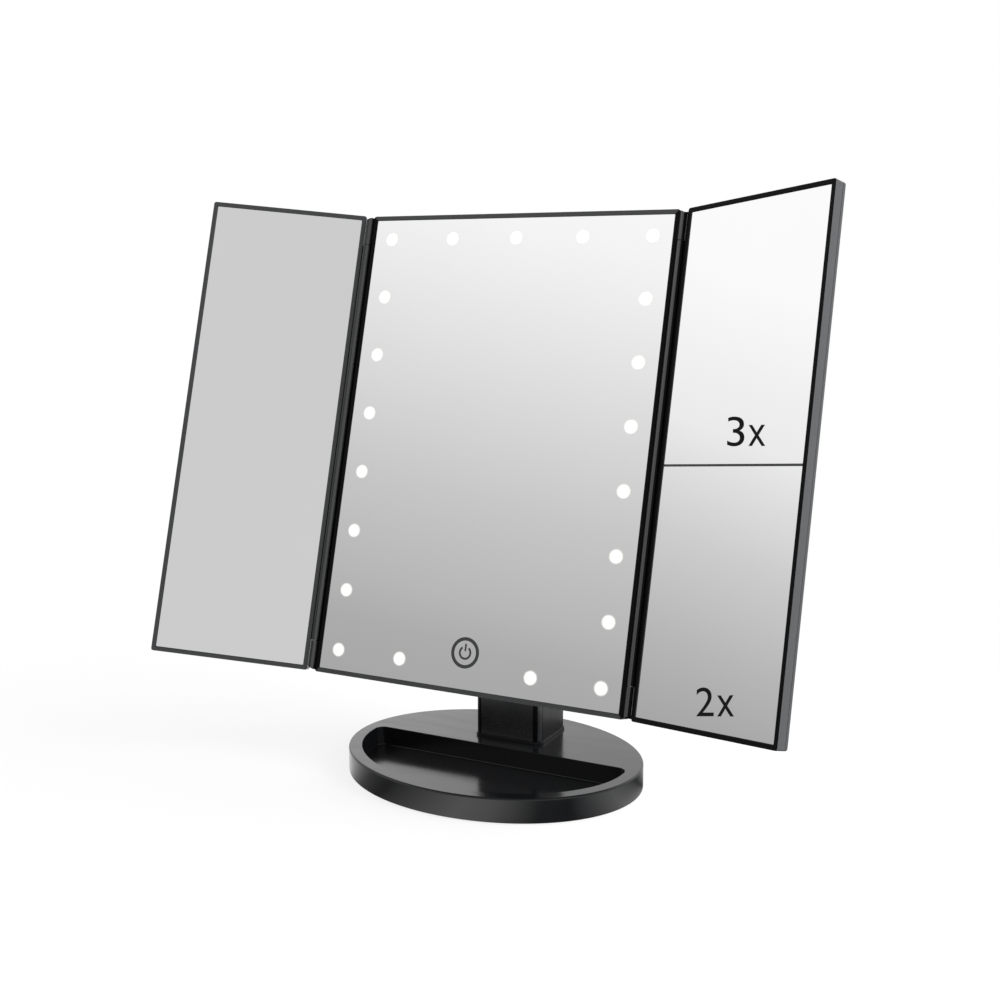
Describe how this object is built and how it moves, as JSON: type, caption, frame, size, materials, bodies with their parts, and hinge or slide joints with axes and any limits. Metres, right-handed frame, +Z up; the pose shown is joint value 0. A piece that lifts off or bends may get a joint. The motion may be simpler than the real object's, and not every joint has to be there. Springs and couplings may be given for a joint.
{
  "type": "trifold vanity mirror",
  "caption": "Lit vanity mirror with a centre panel, two folding wings, magnifying panes and a touch button, tilting on a battery neck that plugs into an oval tray base.",
  "frame": {"origin": "on the table, under the middle of the oval base", "axes": "+Z up, the mirrors face -Y, +X towards the viewer's right"},
  "size_m": [0.3385, 0.1324, 0.2952],
  "materials": {
    "base_gloss": "glossy black plastic",
    "neck_black": "satin black plastic",
    "frame_black": "glossy black plastic",
    "plain_black": "plain black plastic",
    "mirror": "silvered glass",
    "lit_glass": "frosted glass, lit from behind",
    "sign_grey": "frosted line in the glass",
    "foam_tape": "white foam tape",
    "copper": "copper foil",
    "board_green": "green circuit board",
    "board_white": "white circuit board",
    "chip_yellow": "light chips",
    "screw_steel": "plain steel",
    "contact_steel": "nickel-plated steel",
    "weight_steel": "raw steel",
    "cell_metal": "battery cell, weighed as aluminium",
    "washer_nylon": "nylon",
    "foot_rubber": "black rubber"
  },
  "bodies": {
    "base": {"base_shell": "base_gloss", "base_plate": "plain_black", "base_weight": "weight_steel", "base_feet": "foot_rubber", "base_screws": "screw_steel"},
    "neck": {"neck_foot": "base_gloss", "neck_front": "neck_black", "neck_rear": "neck_black", "neck_screws": "screw_steel", "battery_cells": "cell_metal", "battery_contacts": "contact_steel", "port_board": "board_green", "power_socket": "contact_steel", "switch_body": "contact_steel"},
    "battery_door": {"battery_door": "neck_black"},
    "power_switch": {"switch_knob": "plain_black"},
    "panel": {"panel_frame": "frame_black", "panel_cover": "frame_black", "panel_screws": "screw_steel", "panel_mirror": "mirror", "panel_tape": "foam_tape", "light_windows": "lit_glass", "touch_sign": "sign_grey", "touch_pad": "copper", "touch_board": "board_green", "light_board": "board_white", "light_chips": "chip_yellow", "tilt_bracket": "neck_black", "bracket_screws": "screw_steel", "tilt_pin": "screw_steel", "tilt_washers": "washer_nylon", "tilt_caps": "plain_black", "hinge_pins": "screw_steel"},
    "left_wing": {"left_frame": "frame_black", "left_cover": "frame_black", "left_mirror": "mirror", "left_tape": "foam_tape"},
    "right_wing": {"right_frame": "frame_black", "right_cover": "frame_black", "right_mirror_3x": "mirror", "right_mirror_2x": "mirror", "right_tape": "foam_tape"}
  },
  "joints": [
    {"name": "neck_lift", "type": "slide", "parent": "base", "child": "neck", "axis": [0, 0, 1], "range_m": [0, 0.02]},
    {"name": "tilt", "type": "hinge", "parent": "neck", "child": "panel", "pos_m": [0, 0.0324, 0.1593], "axis": [-1, 0, 0], "range_deg": [-20, 74]},
    {"name": "left_fold", "type": "hinge", "parent": "panel", "child": "left_wing", "pos_m": [-0.0872, -0.03696, 0.05333], "axis": [0, 0.2698, 0.9629], "range_deg": [-21.3, 158.7]},
    {"name": "right_fold", "type": "hinge", "parent": "panel", "child": "right_wing", "pos_m": [0.0872, -0.03696, 0.05333], "axis": [0, -0.2698, -0.9629], "range_deg": [-24.3, 155.7]},
    {"name": "door_pull", "type": "slide", "parent": "neck", "child": "battery_door", "axis": [0, 1, 0], "range_m": [0, 0.03]},
    {"name": "power_slide", "type": "slide", "parent": "neck", "child": "power_switch", "axis": [-1, 0, 0], "range_m": [0, 0.002]}
  ]
}
